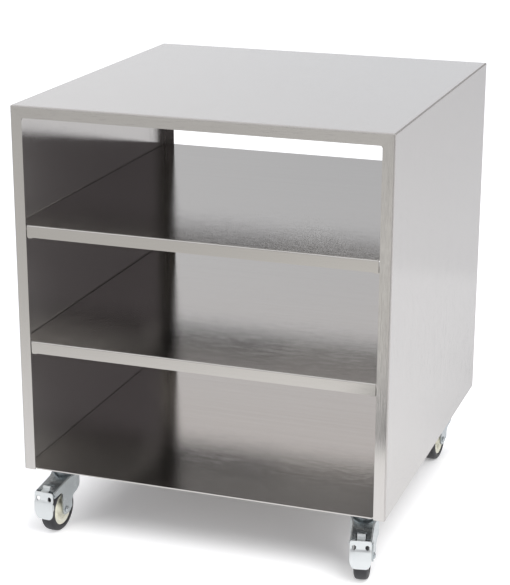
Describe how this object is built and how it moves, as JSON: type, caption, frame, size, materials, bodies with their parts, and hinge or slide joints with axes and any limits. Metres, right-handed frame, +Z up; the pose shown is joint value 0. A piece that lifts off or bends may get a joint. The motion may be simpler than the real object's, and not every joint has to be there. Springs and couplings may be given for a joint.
{
  "type": "grill cart with storage",
  "caption": "Stainless steel grill cart: open folded housing with flat top, middle shelves and a floor, on swivel castors, the front ones with foot brakes.",
  "frame": {"origin": "on the ground, at the centre of the rectangle that the whole cart covers with its castors as they stand at rest", "axes": "+X to the right seen from the front, +Y to the back, +Z up"},
  "size_m": [0.64, 0.674, 0.75],
  "materials": {
    "stainless": "brushed along the sheet's length",
    "zinc": "bright zinc plating",
    "brake_chrome": "polished plating",
    "spring_steel": "dark spring steel",
    "hub_plastic": "moulded, slightly glossy",
    "tyre": "solid rubber"
  },
  "bodies": {
    "cabinet": {"body_shell": "stainless", "floor_panel": "stainless", "upper_shelf": "stainless", "lower_shelf": "stainless", "upper_rail_left": "stainless", "upper_rail_right": "stainless", "lower_rail_left": "stainless", "lower_rail_right": "stainless", "castor_channel_left": "stainless", "castor_channel_right": "stainless", "stem_front_left": "zinc", "stem_nut_front_left": "zinc", "race_cup_front_left": "zinc", "stem_front_right": "zinc", "stem_nut_front_right": "zinc", "race_cup_front_right": "zinc", "stem_back_left": "zinc", "stem_nut_back_left": "zinc", "race_cup_back_left": "zinc", "stem_back_right": "zinc", "stem_nut_back_right": "zinc", "race_cup_back_right": "zinc"},
    "swivel_front_left": {"fork_front_left": "zinc", "axle_bolt_front_left": "zinc", "axle_nut_front_left": "zinc", "axle_sleeve_front_left": "zinc", "pedal_pin_front_left": "zinc", "brake_spring_front_left": "spring_steel"},
    "wheel_front_left": {"hub_front_left": "hub_plastic", "tyre_front_left": "tyre"},
    "pedal_front_left": {"brake_pedal_front_left": "brake_chrome", "brake_shoe_front_left": "tyre"},
    "swivel_front_right": {"fork_front_right": "zinc", "axle_bolt_front_right": "zinc", "axle_nut_front_right": "zinc", "axle_sleeve_front_right": "zinc", "pedal_pin_front_right": "zinc", "brake_spring_front_right": "spring_steel"},
    "wheel_front_right": {"hub_front_right": "hub_plastic", "tyre_front_right": "tyre"},
    "pedal_front_right": {"brake_pedal_front_right": "brake_chrome", "brake_shoe_front_right": "tyre"},
    "swivel_back_left": {"fork_back_left": "zinc", "axle_bolt_back_left": "zinc", "axle_nut_back_left": "zinc", "axle_sleeve_back_left": "zinc"},
    "wheel_back_left": {"hub_back_left": "hub_plastic", "tyre_back_left": "tyre"},
    "swivel_back_right": {"fork_back_right": "zinc", "axle_bolt_back_right": "zinc", "axle_nut_back_right": "zinc", "axle_sleeve_back_right": "zinc"},
    "wheel_back_right": {"hub_back_right": "hub_plastic", "tyre_back_right": "tyre"}
  },
  "joints": [
    {"name": "swivel_turn_front_left", "type": "hinge", "parent": "cabinet", "child": "swivel_front_left", "pos_m": [-0.271, -0.25603, 0.101], "axis": [0, 0, 1], "continuous": true},
    {"name": "wheel_spin_front_left", "type": "hinge", "parent": "swivel_front_left", "child": "wheel_front_left", "pos_m": [-0.27323, -0.28795, 0.04], "axis": [0.9976, -0.0698, 0], "continuous": true},
    {"name": "pedal_lift_front_left", "type": "hinge", "parent": "swivel_front_left", "child": "pedal_front_left", "pos_m": [-0.27592, -0.32636, 0.07895], "axis": [0.9976, -0.0698, 0], "range_deg": [-22, 0]},
    {"name": "swivel_turn_front_right", "type": "hinge", "parent": "cabinet", "child": "swivel_front_right", "pos_m": [0.271, -0.25603, 0.101], "axis": [0, 0, 1], "continuous": true},
    {"name": "wheel_spin_front_right", "type": "hinge", "parent": "swivel_front_right", "child": "wheel_front_right", "pos_m": [0.27711, -0.28744, 0.04], "axis": [0.9816, 0.1908, 0], "continuous": true},
    {"name": "pedal_lift_front_right", "type": "hinge", "parent": "swivel_front_right", "child": "pedal_front_right", "pos_m": [0.28445, -0.32524, 0.07895], "axis": [0.9816, 0.1908, 0], "range_deg": [-22, 0]},
    {"name": "swivel_turn_back_left", "type": "hinge", "parent": "cabinet", "child": "swivel_back_left", "pos_m": [-0.271, 0.26897, 0.101], "axis": [0, 0, 1], "continuous": true},
    {"name": "wheel_spin_back_left", "type": "hinge", "parent": "swivel_back_left", "child": "wheel_back_left", "pos_m": [-0.26765, 0.23714, 0.04], "axis": [0.9945, 0.1045, 0], "continuous": true},
    {"name": "swivel_turn_back_right", "type": "hinge", "parent": "cabinet", "child": "swivel_back_right", "pos_m": [0.271, 0.26897, 0.101], "axis": [0, 0, 1], "continuous": true},
    {"name": "wheel_spin_back_right", "type": "hinge", "parent": "swivel_back_right", "child": "wheel_back_right", "pos_m": [0.26932, 0.23701, 0.04], "axis": [0.9986, -0.0523, 0], "continuous": true}
  ]
}
